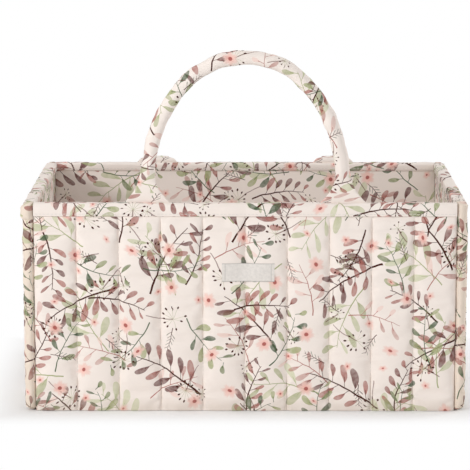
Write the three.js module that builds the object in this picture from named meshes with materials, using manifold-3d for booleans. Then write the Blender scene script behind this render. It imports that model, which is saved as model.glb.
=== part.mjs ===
// Quilted diaper caddy: a padded fabric box with two stuffed carrying handles and lift-out dividers.
// Millimetres, +Z up. The origin is the centre of the base, on the surface that the caddy stands on.
// The front wall looks along -Y. A wall's own depth, n, is counted outwards from its lining's inner face.
import * as THREE from 'three';
import { mergeVertices } from 'three/addons/utils/BufferGeometryUtils.js';
import Module from 'manifold-3d';

const wasm = await Module();
wasm.setup();

// Overall sizes, over the quilted crowns
const bodyWidth = 380;
const bodyDepth = 250;
const bodyHeight = 180;

// Wall layers
const layerGap = 0.3; // between any two pieces that touch
const liningThickness = 1.2;
const wallFoamThickness = 4;
const seamThickness = 1.5; // outer panel where a quilting line draws it in
const puffRise = 3.5; // of a channel's crown above its seams
const frontChannels = 10;
const sideChannels = 6;
const puffTaperLow = 12; // height over which a channel fills out above the base
const puffTaperHigh = 10; // and draws in again below the hem
const puffFootShare = 0.2; // of its rise that a channel has at the base
const seamAllowance = 0.2; // between a panel's edge and the binding's centre line

// Rim hem
const hemThickness = 1.2;
const hemOuterDrop = 11.4;
const hemInnerDrop = 7.5;
const hemRound = 2.2;

// Corner binding
const bindingRadius = 9.2;
const bindingFoot = 0.8; // its rounded lower end stands this far off the floor
const bindingRound = 5;
const bindingEndShares = [[0, 1 / 2], [1 / 4, 1 / 6], [1, 0]]; // height and inset of its rounded end

// Base
const basePanelThickness = 1.5;
const baseBoardThickness = 3;

// Woven label, sewn on the crowns to the right of the middle seam
const labelWidth = 44.5;
const labelHeight = 15.8;
const labelThickness = 0.6;
const labelCentreX = 2.7;
const labelCentreZ = 121;

// Handles: two stuffed tubes that open into flat ends sewn into the walls
const handleHalfSpan = 83; // from the middle to each end's centre
const handleArchRise = 122.4; // of the tube's centre line above the rim
const handleSpringRise = 6; // height above the rim where the arch begins
const handleRoundness = 2.1; // exponent of the arch, where 2 is an ellipse
const tubeHalfWidth = 6.4;
const tubeHalfThickness = 6;
const flareHalfWidth = 19; // at the rim
const flareHeight = 27; // above the rim, where the flare has narrowed to the tube
const flareCurve = 2.3; // exponent of its narrowing, faster near the rim
const stripHalfThickness = 1.2; // two layers of fabric sewn flat
const coverFabric = 0.9;
const tabDepthInWall = 20;
const foldLowRise = 2.5; // of the fold line at the rim
const foldSpacing = 9; // between the two fold lines of a handle end
const foldRelief = 0.3; // clearance of a strip's round end beyond the fold line
const backFoldAngle = THREE.MathUtils.degToRad(82); // at each fold line of the flopped back handle
const ropeClearance = 0.3;
const ropeStartRise = 45; // above the rim
const coverTipShares = [[0.85, 0.53], [0.5, 0.87]]; // drop and thickness of a cover's pressed end

// Dividers
const dividerHeight = 130;
const dividerThickness = 8;
const dividerFabric = 1.2;
const crossDividerX = 75;
const longDividerY = 0;
const stripThickness = 1; // of hook and loop tape
const loopStripWidth = 20;
const hookStripWidth = 7;
const stripHeight = 105;
const stripRise = 10; // of a strip's lower end above the base lining

// Fineness of the faceted solids
const channelFacets = 6;
const ringPoints = 12;
const archSteps = 34;
const roundSteps = 4;
const bindingSteps = 8;
const taperStepShare = 1 / 3; // of a channel's taper, where a row of points rounds it
const stationEaseShare = 0.55; // how far a handle's stations crowd towards its ends
const archAngleStep = 0.001; // radians, for the arch's direction

// Places worked out from the sizes above
const foamIn = liningThickness + layerGap;
const foamOut = foamIn + wallFoamThickness;
const panelIn = foamOut + layerGap;
const seamFace = panelIn + seamThickness;
const crownFace = seamFace + puffRise;
const hemOut = seamFace + layerGap + hemThickness;
const hemIn = -layerGap - hemThickness;
const innerHalfX = bodyWidth / 2 - crownFace;
const innerHalfY = bodyDepth / 2 - crownFace;
const boardTop = bodyHeight - hemThickness - layerGap;
const baseBoardLow = basePanelThickness + layerGap;
const liningLow = baseBoardLow + baseBoardThickness + layerGap;
const floorTop = liningLow + liningThickness;
const tabN = foamIn + stripHalfThickness;
const foldHighRise = foldLowRise + foldSpacing;

const print = { color: 0xf2e9e2, roughness: 0.9, metalness: 0 };
const materials = {
  print: new THREE.MeshStandardMaterial(print),
  binding: new THREE.MeshStandardMaterial({ color: 0xe6d8cc, roughness: 0.9, metalness: 0 }),
  foam: new THREE.MeshStandardMaterial({ color: 0xf4f1e8, roughness: 1, metalness: 0 }),
  board: new THREE.MeshStandardMaterial({ color: 0xd9d5cb, roughness: 0.7, metalness: 0 }),
  label: new THREE.MeshStandardMaterial({ color: 0xd8d5cd, roughness: 0.45, metalness: 0 }),
  rope: new THREE.MeshStandardMaterial({ color: 0xe9e2d2, roughness: 1, metalness: 0 }),
  tape: new THREE.MeshStandardMaterial({ color: 0xf0ece6, roughness: 0.95, metalness: 0 }),
};

const caddy = new THREE.Group();

function addPiece(name, geometry, material, parent = caddy) {
  const mesh = new THREE.Mesh(geometry, material);
  mesh.name = name;
  parent.add(mesh);
  return mesh;
}

function toSolid(geometry) {
  const bare = geometry.clone();
  bare.deleteAttribute('normal');
  bare.deleteAttribute('uv');
  const merged = mergeVertices(bare);
  return new wasm.Manifold(new wasm.Mesh({
    numProp: 3,
    vertProperties: new Float32Array(merged.attributes.position.array),
    triVerts: new Uint32Array(merged.index.array),
  }));
}

function fromSolid(solid) {
  const mesh = solid.getMesh();
  const geometry = new THREE.BufferGeometry();
  geometry.setAttribute('position', new THREE.BufferAttribute(new Float32Array(mesh.vertProperties), 3));
  geometry.setIndex(new THREE.BufferAttribute(new Uint32Array(mesh.triVerts), 1));
  geometry.computeVertexNormals();
  return geometry;
}

function cutAway(geometry, cutters) {
  let solid = toSolid(geometry);
  for (const cutter of cutters) solid = solid.subtract(toSolid(cutter));
  return fromSolid(solid);
}

// A box between two corners
function boxBetween(low, high) {
  const size = high.map((value, axis) => value - low[axis]);
  const centre = high.map((value, axis) => (value + low[axis]) / 2);
  return new THREE.BoxGeometry(...size).translate(...centre);
}

// A geometry from rings of points, each joined to the next, with every ring in the same order
function indexed(points, faces) {
  const geometry = new THREE.BufferGeometry();
  geometry.setAttribute('position', new THREE.Float32BufferAttribute(points.flatMap((p) => p.toArray()), 3));
  geometry.setIndex(faces);
  geometry.computeVertexNormals();
  return geometry;
}

function bandFaces(from, to, count, faces) {
  for (let i = 0; i < count; i += 1) {
    const next = (i + 1) % count;
    faces.push(from + i, from + next, to + next, from + i, to + next, to + i);
  }
}

// A closed solid through rings, with a fan over each end. Rings turn right-handed about their way along.
function loft(rings) {
  const count = rings[0].length;
  const points = rings.flat();
  const faces = [];
  for (let k = 0; k + 1 < rings.length; k += 1) bandFaces(k * count, (k + 1) * count, count, faces);
  for (const [ring, outwards] of [[0, false], [rings.length - 1, true]]) {
    const centre = points.length;
    points.push(rings[ring].reduce((sum, p) => sum.add(p), new THREE.Vector3()).divideScalar(count));
    for (let i = 0; i < count; i += 1) {
      const a = ring * count + i;
      const b = ring * count + ((i + 1) % count);
      faces.push(...(outwards ? [a, b, centre] : [b, a, centre]));
    }
  }
  return indexed(points, faces);
}

// A sleeve between outer and inner rings, open at both ends
function sleeve(outer, inner) {
  const count = outer[0].length;
  const points = [...outer.flat(), ...inner.flat()];
  const faces = [];
  const innerStart = outer.length * count;
  const last = (outer.length - 1) * count;
  for (let k = 0; k + 1 < outer.length; k += 1) {
    bandFaces(k * count, (k + 1) * count, count, faces);
    bandFaces(innerStart + (k + 1) * count, innerStart + k * count, count, faces);
  }
  bandFaces(innerStart, 0, count, faces);
  bandFaces(last, innerStart + last, count, faces);
  return indexed(points, faces);
}

// Each wall stands in its own group: local X along the wall, local -Y outwards, local Z up
const walls = {
  front: { turn: 0, innerHalf: innerHalfY, halfLength: innerHalfX, channels: frontChannels },
  right: { turn: Math.PI / 2, innerHalf: innerHalfX, halfLength: innerHalfY, channels: sideChannels },
  back: { turn: Math.PI, innerHalf: innerHalfY, halfLength: innerHalfX, channels: frontChannels },
  left: { turn: -Math.PI / 2, innerHalf: innerHalfX, halfLength: innerHalfY, channels: sideChannels },
};
for (const wall of Object.values(walls)) {
  wall.group = new THREE.Group();
  wall.group.rotation.z = wall.turn;
  wall.panelHalf = wall.halfLength - seamAllowance;
  wall.carriesHandle = wall.channels === frontChannels;
  caddy.add(wall.group);
}

// A slab of a wall, from depth nLow to nHigh
function wallSlab(wall, halfLength, nLow, nHigh, zLow, zHigh) {
  return boxBetween(
    [-halfLength, -wall.innerHalf - nHigh, zLow],
    [halfLength, -wall.innerHalf - nLow, zHigh],
  );
}

// The share of its full rise that a channel has at a height
function puffShareAt(z) {
  const foot = Math.min(z / puffTaperLow, 1);
  const head = Math.min(Math.max((bodyHeight - hemOuterDrop - z) / puffTaperHigh, 0), 1);
  return Math.sqrt(Math.min(puffFootShare + (1 - puffFootShare) * foot, 1) * head);
}

// The quilted outer panel: upright channels that swell between their seams
function quiltedPanel(wall) {
  const columns = wall.channels * channelFacets;
  const hemEdge = bodyHeight - hemOuterDrop;
  const rows = [
    0, taperStepShare * puffTaperLow, puffTaperLow,
    hemEdge - puffTaperHigh, hemEdge - taperStepShare * puffTaperHigh, hemEdge, boardTop,
  ];
  const points = [];
  for (const z of rows) {
    for (let i = 0; i <= columns; i += 1) {
      const across = (2 * (i % channelFacets)) / channelFacets - 1;
      const crown = Math.sqrt(1 - across * across);
      const n = seamFace + puffRise * crown * puffShareAt(z);
      const x = ((2 * i) / columns - 1) * wall.panelHalf;
      points.push(new THREE.Vector3(x, -wall.innerHalf - n, z));
    }
  }
  const stride = columns + 1;
  const top = rows.length - 1;
  const faces = [];
  for (let r = 0; r < top; r += 1) {
    for (let i = 0; i < columns; i += 1) {
      const a = r * stride + i;
      const b = a + stride;
      faces.push(a, a + 1, b + 1, a, b + 1, b);
    }
  }
  const edge = [];
  for (let i = 0; i < columns; i += 1) edge.push(i);
  for (let r = 0; r < top; r += 1) edge.push(r * stride + columns);
  for (let i = columns; i > 0; i -= 1) edge.push(top * stride + i);
  for (let r = top; r > 0; r -= 1) edge.push(r * stride);
  const back = points.length;
  for (const index of edge) {
    points.push(new THREE.Vector3(points[index].x, -wall.innerHalf - panelIn, points[index].z));
  }
  const middle = points.length;
  points.push(new THREE.Vector3(0, -wall.innerHalf - panelIn, boardTop / 2));
  edge.forEach((front, k) => {
    const next = (k + 1) % edge.length;
    faces.push(back + k, back + next, edge[next], back + k, edge[next], front);
    faces.push(back + next, back + k, middle);
  });
  return indexed(points, faces);
}

// Half the width of a handle's end at a height above the rim
function flareHalfWidthAt(rise) {
  const narrowed = 1 - Math.min(rise / flareHeight, 1);
  return tubeHalfWidth + (flareHalfWidth - tubeHalfWidth) * narrowed ** flareCurve;
}

// The space that a handle's sewn end needs in the layers it passes
function tabCutters(wall, zLow) {
  const half = flareHalfWidthAt(0) + layerGap;
  return [-handleHalfSpan, handleHalfSpan].map((x) => boxBetween(
    [x - half, -wall.innerHalf - tabN - stripHalfThickness - layerGap, zLow],
    [x + half, -wall.innerHalf - tabN + stripHalfThickness + layerGap, bodyHeight + layerGap],
  ));
}

// The rim hem: a folded band over the wall's top, mitred where it meets its neighbours inside the corners
function rimHem(wall) {
  const outline = new THREE.Shape();
  outline.moveTo(hemOut, bodyHeight - hemOuterDrop);
  outline.lineTo(hemOut, bodyHeight - hemRound);
  outline.absarc(hemOut - hemRound, bodyHeight - hemRound, hemRound, 0, Math.PI / 2, false);
  outline.lineTo(hemIn + hemRound, bodyHeight);
  outline.absarc(hemIn + hemRound, bodyHeight - hemRound, hemRound, Math.PI / 2, Math.PI, false);
  outline.lineTo(hemIn, bodyHeight - hemInnerDrop);
  outline.lineTo(hemIn + hemThickness, bodyHeight - hemInnerDrop);
  outline.lineTo(hemIn + hemThickness, bodyHeight - hemThickness);
  outline.lineTo(hemOut - hemThickness, bodyHeight - hemThickness);
  outline.lineTo(hemOut - hemThickness, bodyHeight - hemOuterDrop);
  const length = 2 * wall.panelHalf;
  const band = new THREE.ExtrudeGeometry(outline, {
    depth: length, bevelEnabled: false, curveSegments: roundSteps,
  });
  const place = band.attributes.position;
  for (let i = 0; i < place.count; i += 1) {
    const n = place.getX(i);
    const along = place.getZ(i) - wall.panelHalf;
    const mitred = along * (1 + Math.min(n, 0) / wall.panelHalf);
    place.setXYZ(i, -mitred, -wall.innerHalf - n, place.getY(i));
  }
  return wall.carriesHandle ? cutAway(band, tabCutters(wall, bodyHeight - 2 * hemThickness)) : band;
}

function foamBoard(wall) {
  const board = wallSlab(wall, wall.panelHalf, foamIn, foamOut, baseBoardLow, boardTop);
  if (!wall.carriesHandle) return board;
  return cutAway(board, tabCutters(wall, bodyHeight - tabDepthInWall - layerGap));
}

for (const [side, wall] of Object.entries(walls)) {
  addPiece(`${side}_outer_panel`, quiltedPanel(wall), materials.print, wall.group);
  addPiece(`${side}_foam_board`, foamBoard(wall), materials.foam, wall.group);
  const lining = wallSlab(wall, wall.panelHalf, 0, liningThickness, liningLow, boardTop);
  addPiece(`${side}_lining`, lining, materials.print, wall.group);
  addPiece(`${side}_rim_hem`, rimHem(wall), materials.print, wall.group);
}

// Corner bindings: padded strips with a quarter-round section over the upright edges
function cornerBinding() {
  const insetAt = (round, insetShare) => 1 - (insetShare * round) / bindingRadius;
  const levels = [
    ...bindingEndShares.map(([heightShare, insetShare]) => (
      [bindingFoot + heightShare * bindingRound, insetAt(bindingRound, insetShare)])),
    [bodyHeight - hemRound, 1],
    [bodyHeight, insetAt(hemRound, bindingEndShares[0][1])],
  ];
  return loft(levels.map(([z, scaleShare]) => {
    const ring = [new THREE.Vector3(0, 0, z)];
    for (let i = 0; i <= bindingSteps; i += 1) {
      const angle = (i / bindingSteps) * (Math.PI / 2);
      const reach = bindingRadius * scaleShare;
      ring.push(new THREE.Vector3(reach * Math.cos(angle), reach * Math.sin(angle), z));
    }
    return ring;
  }));
}

const corners = {
  back_right: { turn: 0, x: 1, y: 1 },
  back_left: { turn: Math.PI / 2, x: -1, y: 1 },
  front_left: { turn: Math.PI, x: -1, y: -1 },
  front_right: { turn: -Math.PI / 2, x: 1, y: -1 },
};
for (const [corner, { turn, x, y }] of Object.entries(corners)) {
  const binding = addPiece(`${corner}_corner_binding`, cornerBinding(), materials.binding);
  const offset = layerGap - seamAllowance;
  binding.position.set(x * (innerHalfX + offset), y * (innerHalfY + offset), 0);
  binding.rotation.z = turn;
}

// Base: outer panel, stiff board and lining. The plates are notched where the corner bindings stand.
function notchedPlate(reach, zLow, zHigh) {
  const longX = innerHalfX + reach;
  const longY = innerHalfY + reach;
  const shortX = innerHalfX - seamAllowance;
  const shortY = innerHalfY - seamAllowance;
  const outline = new THREE.Shape([
    [longX, -shortY], [longX, shortY], [shortX, shortY],
    [shortX, longY], [-shortX, longY], [-shortX, shortY],
    [-longX, shortY], [-longX, -shortY], [-shortX, -shortY],
    [-shortX, -longY], [shortX, -longY], [shortX, -shortY],
  ].map(([x, y]) => new THREE.Vector2(x, y)));
  const plate = new THREE.ExtrudeGeometry(outline, { depth: zHigh - zLow, bevelEnabled: false });
  return plate.translate(0, 0, zLow);
}

addPiece('base_outer_panel', notchedPlate(foamOut, 0, basePanelThickness), materials.print);
const baseBoard = notchedPlate(liningThickness, baseBoardLow, baseBoardLow + baseBoardThickness);
addPiece('base_board', baseBoard, materials.board);
const baseLining = boxBetween(
  [layerGap - innerHalfX, layerGap - innerHalfY, liningLow],
  [innerHalfX - layerGap, innerHalfY - layerGap, floorTop],
);
addPiece('base_lining', baseLining, materials.print);

// Woven label on the front panel's crowns
const ribbon = new THREE.BoxGeometry(labelWidth, labelThickness, labelHeight);
const label = addPiece('woven_label', ribbon, materials.label);
label.position.set(labelCentreX, -bodyDepth / 2 - layerGap - labelThickness / 2, labelCentreZ);

// A ring of a handle's section, flat across local Y. side is the direction of its width.
function handleRing(centre, side, halfWidth, halfThickness) {
  const ring = [];
  for (let i = 0; i < ringPoints; i += 1) {
    const angle = (i / ringPoints) * 2 * Math.PI;
    const across = side.clone().multiplyScalar(halfWidth * Math.cos(angle));
    const through = new THREE.Vector3(0, halfThickness * Math.sin(angle), 0);
    ring.push(centre.clone().add(across).add(through));
  }
  return ring;
}

// A flat strip of a handle's end between two heights, with round ends about the fold lines beside it
function flatStrip(x, riseLow, riseHigh, roundLow, originRise) {
  const levels = [];
  const steps = roundSteps;
  if (roundLow) {
    for (let i = 1; i <= steps; i += 1) {
      const angle = (i / steps) * (Math.PI / 2);
      levels.push([
        riseLow - stripHalfThickness * Math.cos(angle),
        stripHalfThickness * Math.sin(angle),
      ]);
    }
  } else {
    levels.push([riseLow, stripHalfThickness]);
  }
  for (let i = 1; i <= steps; i += 1) {
    levels.push([riseLow + (i / steps) * (riseHigh - riseLow), stripHalfThickness]);
  }
  return loft(levels.map(([rise, halfThickness]) => {
    const halfWidth = flareHalfWidthAt(Math.max(rise, 0));
    const z = rise - originRise;
    return [[-1, -1], [1, -1], [1, 1], [-1, 1]].map(([a, b]) => (
      new THREE.Vector3(x + a * halfWidth, b * halfThickness, z)));
  }));
}

// The arch that a handle's centre line follows, from its right end over the top to its left end
function archPoint(angle) {
  const cos = Math.cos(angle);
  const power = 2 / handleRoundness;
  return new THREE.Vector3(
    handleHalfSpan * Math.sign(cos) * Math.abs(cos) ** power,
    0,
    handleSpringRise + (handleArchRise - handleSpringRise) * Math.sin(angle) ** power,
  );
}

// Angle at which the arch reaches a height above the rim
function archAngleAt(rise) {
  const share = (rise - handleSpringRise) / (handleArchRise - handleSpringRise);
  return Math.asin(share ** (handleRoundness / 2));
}

// How much of the tube's thickness a handle's end has gained at a height above the rim
function swellShareAt(rise) {
  const share = (rise - foldHighRise - 2 * stripHalfThickness) / (flareHeight - foldHighRise);
  return THREE.MathUtils.smoothstep(share, 0, 1);
}

// Stations along a handle from rise to rise over the top, closer together near the ends
function handleStations(startRise) {
  const start = archAngleAt(startRise);
  const stations = [];
  for (let i = 0; i <= archSteps; i += 1) {
    const t = i / archSteps;
    const eased = t - (stationEaseShare * Math.sin(2 * Math.PI * t)) / (2 * Math.PI);
    const angle = start + (Math.PI - 2 * start) * eased;
    const centre = archPoint(angle);
    const way = archPoint(angle + archAngleStep).sub(archPoint(angle - archAngleStep)).normalize();
    const side = new THREE.Vector3(way.z, 0, -way.x);
    const rise = centre.z;
    stations.push({
      centre, side, rise,
      halfWidth: flareHalfWidthAt(rise),
      halfThickness: stripHalfThickness + (tubeHalfThickness - stripHalfThickness) * swellShareAt(rise),
    });
  }
  return stations;
}

// The handle's cover: a fabric tube, round along the arch and pressed flat at its two open ends
function handleCover() {
  const stations = handleStations(foldHighRise);
  const first = stations[0];
  const last = stations[stations.length - 1];
  const tip = (station, drop, thinShare) => ({
    ...station,
    centre: station.centre.clone().setZ(station.centre.z - drop),
    halfThickness: station.halfThickness * thinShare,
  });
  const ends = coverTipShares.map(([dropShare, thinShare]) => [dropShare * stripHalfThickness, thinShare]);
  const all = [
    ...ends.map(([drop, thinShare]) => tip(first, drop, thinShare)),
    ...stations,
    ...ends.map(([drop, thinShare]) => tip(last, drop, thinShare)).reverse(),
  ];
  const hollow = stripHalfThickness - coverFabric;
  const outer = all.map((s) => handleRing(s.centre, s.side, s.halfWidth, s.halfThickness));
  const inner = all.map((s) => handleRing(
    s.centre, s.side, s.halfWidth - coverFabric, Math.max(s.halfThickness - coverFabric, hollow),
  ));
  return sleeve(outer, inner);
}

// The soft rope that stuffs the arch
function handleCore() {
  const stations = handleStations(ropeStartRise);
  const thinner = coverFabric + ropeClearance;
  return loft(stations.map((s) => (
    handleRing(s.centre, s.side, s.halfWidth - thinner, s.halfThickness - thinner))));
}

// A handle with its sewn ends. fold is the angle at each of its two fold lines, outwards positive.
function addHandle(side, wall, fold) {
  for (const [end, x] of [['left', -handleHalfSpan], ['right', handleHalfSpan]]) {
    const endX = side === 'back' ? -x : x;
    const tab = flatStrip(endX, -tabDepthInWall, foldLowRise - stripHalfThickness - foldRelief, false, 0);
    const sewn = addPiece(`${side}_handle_${end}_tab`, tab, materials.print, wall.group);
    sewn.position.set(0, -wall.innerHalf - tabN, bodyHeight);
  }
  const low = new THREE.Group();
  low.position.set(0, -wall.innerHalf - tabN, bodyHeight + foldLowRise);
  low.rotation.x = fold;
  wall.group.add(low);
  for (const [end, x] of [['left', -handleHalfSpan], ['right', handleHalfSpan]]) {
    const endX = side === 'back' ? -x : x;
    const top = foldHighRise - stripHalfThickness - foldRelief;
    const strip = flatStrip(endX, foldLowRise, top, true, foldLowRise);
    addPiece(`${side}_handle_${end}_fold`, strip, materials.print, low);
  }
  const high = new THREE.Group();
  high.position.z = foldSpacing;
  high.rotation.x = fold;
  low.add(high);
  const cover = addPiece(`${side}_handle_cover`, handleCover(), materials.print, high);
  const core = addPiece(`${side}_handle_core`, handleCore(), materials.rope, high);
  cover.position.z = -foldHighRise;
  core.position.z = -foldHighRise;
}

addHandle('front', walls.front, 0);
addHandle('back', walls.back, backFoldAngle);

// A divider: a fabric sleeve, open below, over a foam core
function addDivider(name, low, high) {
  const inset = dividerFabric;
  const fabric = boxBetween(low, high);
  const hollow = boxBetween(
    [low[0] + inset, low[1] + inset, low[2] - layerGap],
    [high[0] - inset, high[1] - inset, high[2] - inset],
  );
  addPiece(`${name}_cover`, cutAway(fabric, [hollow]), materials.print);
  const room = inset + layerGap;
  addPiece(`${name}_foam`, boxBetween(
    [low[0] + room, low[1] + room, low[2]],
    [high[0] - room, high[1] - room, high[2] - room],
  ), materials.foam);
}

// An upright strip of tape, by its centre, thickness axis and width
function addTape(name, x, y, facesX, width) {
  const halfThrough = stripThickness / 2;
  const half = facesX ? [halfThrough, width / 2] : [width / 2, halfThrough];
  const low = floorTop + layerGap + stripRise;
  addPiece(name, boxBetween(
    [x - half[0], y - half[1], low],
    [x + half[0], y + half[1], low + stripHeight],
  ), materials.tape);
}

const dividerLow = floorTop + layerGap;
const dividerHigh = dividerLow + dividerHeight;
const halfDivider = dividerThickness / 2;
const tapeStack = stripThickness + layerGap;
const loopCentre = layerGap + stripThickness / 2;
const hookCentre = loopCentre + tapeStack;
const dividerEnd = layerGap + 2 * tapeStack;

const crossEndY = innerHalfY - dividerEnd;
addDivider(
  'cross_divider',
  [crossDividerX - halfDivider, -crossEndY, dividerLow],
  [crossDividerX + halfDivider, crossEndY, dividerHigh],
);
for (const [end, sign] of [['front', -1], ['back', 1]]) {
  const hookY = sign * (innerHalfY - hookCentre);
  const loopY = sign * (innerHalfY - loopCentre);
  addTape(`cross_divider_${end}_hook_strip`, crossDividerX, hookY, false, hookStripWidth);
  addTape(`${end}_lining_loop_strip`, crossDividerX, loopY, false, loopStripWidth);
}

const longEndX = crossDividerX - halfDivider - dividerEnd;
addDivider(
  'long_divider',
  [dividerEnd - innerHalfX, longDividerY - halfDivider, dividerLow],
  [longEndX, longDividerY + halfDivider, dividerHigh],
);
addTape('long_divider_left_hook_strip', hookCentre - innerHalfX, longDividerY, true, hookStripWidth);
addTape('left_lining_loop_strip', loopCentre - innerHalfX, longDividerY, true, loopStripWidth);
const crossFaceX = crossDividerX - halfDivider;
addTape('long_divider_right_hook_strip', crossFaceX - hookCentre, longDividerY, true, hookStripWidth);
addTape('cross_divider_loop_strip', crossFaceX - loopCentre, longDividerY, true, loopStripWidth);

export default caddy;
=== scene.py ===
"""Dresses the quilted caddy: printed panels, hems, bindings, stuffed handles, dividers and stitching."""

import math
from collections import namedtuple

import bpy
import numpy as np
from mathutils import Color, Matrix, Vector, noise


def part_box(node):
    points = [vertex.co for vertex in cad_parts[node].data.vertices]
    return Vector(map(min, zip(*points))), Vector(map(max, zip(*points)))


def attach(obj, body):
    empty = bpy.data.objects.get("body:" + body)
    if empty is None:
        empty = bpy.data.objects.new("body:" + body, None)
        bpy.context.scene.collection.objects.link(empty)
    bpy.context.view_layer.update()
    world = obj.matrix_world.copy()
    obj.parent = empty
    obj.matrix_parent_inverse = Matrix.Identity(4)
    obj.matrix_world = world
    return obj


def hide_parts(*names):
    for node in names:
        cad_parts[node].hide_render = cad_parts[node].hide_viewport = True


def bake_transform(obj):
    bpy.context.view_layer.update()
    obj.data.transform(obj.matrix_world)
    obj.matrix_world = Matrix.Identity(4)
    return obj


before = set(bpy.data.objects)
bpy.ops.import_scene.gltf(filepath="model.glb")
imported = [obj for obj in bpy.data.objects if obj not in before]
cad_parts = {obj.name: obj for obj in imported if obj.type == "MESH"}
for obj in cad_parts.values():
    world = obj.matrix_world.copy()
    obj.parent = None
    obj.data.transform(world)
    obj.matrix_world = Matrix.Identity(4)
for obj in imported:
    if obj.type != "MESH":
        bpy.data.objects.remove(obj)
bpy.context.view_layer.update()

bl_info = {
    "name": "Quilted Caddy",
    "version": (1, 0, 0),
    "blender": (4, 5, 0),
    "location": "3D View > Sidebar > Caddy",
    "description": "Dresses a quilted fabric caddy piece by piece",
    "category": "Add Mesh",
}

MM = 0.001
X, Y, Z = 0, 1, 2
CLOTH = "cloth"  # the UV map of every woven piece, in metres of cloth

# A wall's turn about Z in degrees, its quilted channels, the corners at its left and right end seen
# from outside, and where its cloth was cut from the roll, in metres
Wall = namedtuple("Wall", "turn channels corners roll")
WALLS = {
    "front": Wall(0, 10, ("front_left", "front_right"), (0.0, 0.0)),
    "right": Wall(90, 6, ("front_right", "back_right"), (0.41, 0.06)),
    "back": Wall(180, 10, ("back_right", "back_left"), (0.71, 0.13)),
    "left": Wall(-90, 6, ("back_left", "front_left"), (1.13, 0.03)),
}
CORNER_TURNS = {"back_right": 0, "back_left": 90, "front_left": 180, "front_right": -90}

# How far a wall's layers stand from the caddy's middle, and half the wall's length
Layers = namedtuple("Layers", "lining panel crown hem_in hem_out half_length")


def wall_layers(wall, thin, long):
    """The layers of a wall that is thin along one axis and long along another, from the frame."""
    def reach(node):
        low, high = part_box(f"{wall}_{node}")
        return sorted((abs(low[thin]), abs(high[thin])))

    half_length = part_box(f"{wall}_outer_panel")[1][long]
    return Layers(reach("lining")[0], *reach("outer_panel"), *reach("rim_hem"), half_length)


LAYERS = {"front": wall_layers("front", Y, X), "right": wall_layers("right", X, Y)}
LAYERS["back"], LAYERS["left"] = LAYERS["front"], LAYERS["right"]
HEM_EDGE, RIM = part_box("front_rim_hem")[0].z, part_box("front_rim_hem")[1].z
PANEL_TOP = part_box("front_outer_panel")[1].z


def in_mm(name, millimetres, description):
    return bpy.props.FloatProperty(
        name=name, description=description, default=millimetres * MM, unit="LENGTH")


def scalar(name, default, description):
    return bpy.props.FloatProperty(name=name, description=description, default=default)


def colour(name, red, green, blue, description):
    return bpy.props.FloatVectorProperty(
        name=name, description=description, default=(red, green, blue), size=3, subtype="COLOR_GAMMA",
        min=0, max=1)


class CaddySizes(bpy.types.PropertyGroup):
    """Sizes of the sewn work"""

    seam_thickness: in_mm("Seam thickness", 1.5, "Of a quilted panel along its seams")
    puff_rise: in_mm("Puff rise", 3.5, "Of a channel's crown above its seams")
    puff_pressure: scalar("Puff pressure", 2.5, "Of the batting under the panels' cloth")
    puff_give: in_mm("Puff give", 1.3, "How far the batting moves the cloth at most")
    cloth_spare: scalar("Spare cloth", 0.02, "Share of cloth that a channel takes up in puckers")
    stitch_length: in_mm("Stitch length", 2.4, "Of one stitch on the surface")
    stitch_gap: in_mm("Stitch gap", 0.9, "Between two stitches")
    thread: in_mm("Thread", 0.45, "Thickness of the sewing thread")
    handle_half_span: in_mm("Handle half span", 83, "From the middle to a handle end's centre")
    handle_rise: in_mm("Handle rise", 122.4, "Of a handle's centre line above the rim")
    spring_rise: in_mm("Spring rise", 6, "Height above the rim where the arch begins")
    arch_roundness: scalar("Arch roundness", 2.1, "Exponent of the arch, where 2 is an ellipse")
    tube_half_width: in_mm("Tube half width", 6.4, "Of a handle's stuffed tube")
    tube_half_thickness: in_mm("Tube half thickness", 6, "Of a handle's stuffed tube")
    flare_half_width: in_mm("Flare half width", 19, "Of a handle's flat end at the rim")
    flare_height: in_mm("Flare height", 27, "Above the rim, where the flare has become the tube")
    flare_curve: scalar("Flare curve", 2.3, "Exponent of the flare's narrowing, faster near the rim")
    flat_half_thickness: in_mm("Flat half thickness", 1.2, "Of a handle's end where it is sewn flat")
    low_fold_rise: in_mm("Low fold", 2.5, "Height of the first fold line above the rim")
    fold_spacing: in_mm("Fold spacing", 9, "Between a handle end's two fold lines")
    fold_reach: in_mm("Fold reach", 3.2, "Of a fold's soft bend on either side of its line")
    fold_angle: bpy.props.FloatProperty(
        name="Fold angle", description="At each fold line of the flopped back handle",
        default=math.radians(82), subtype="ANGLE")


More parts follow.
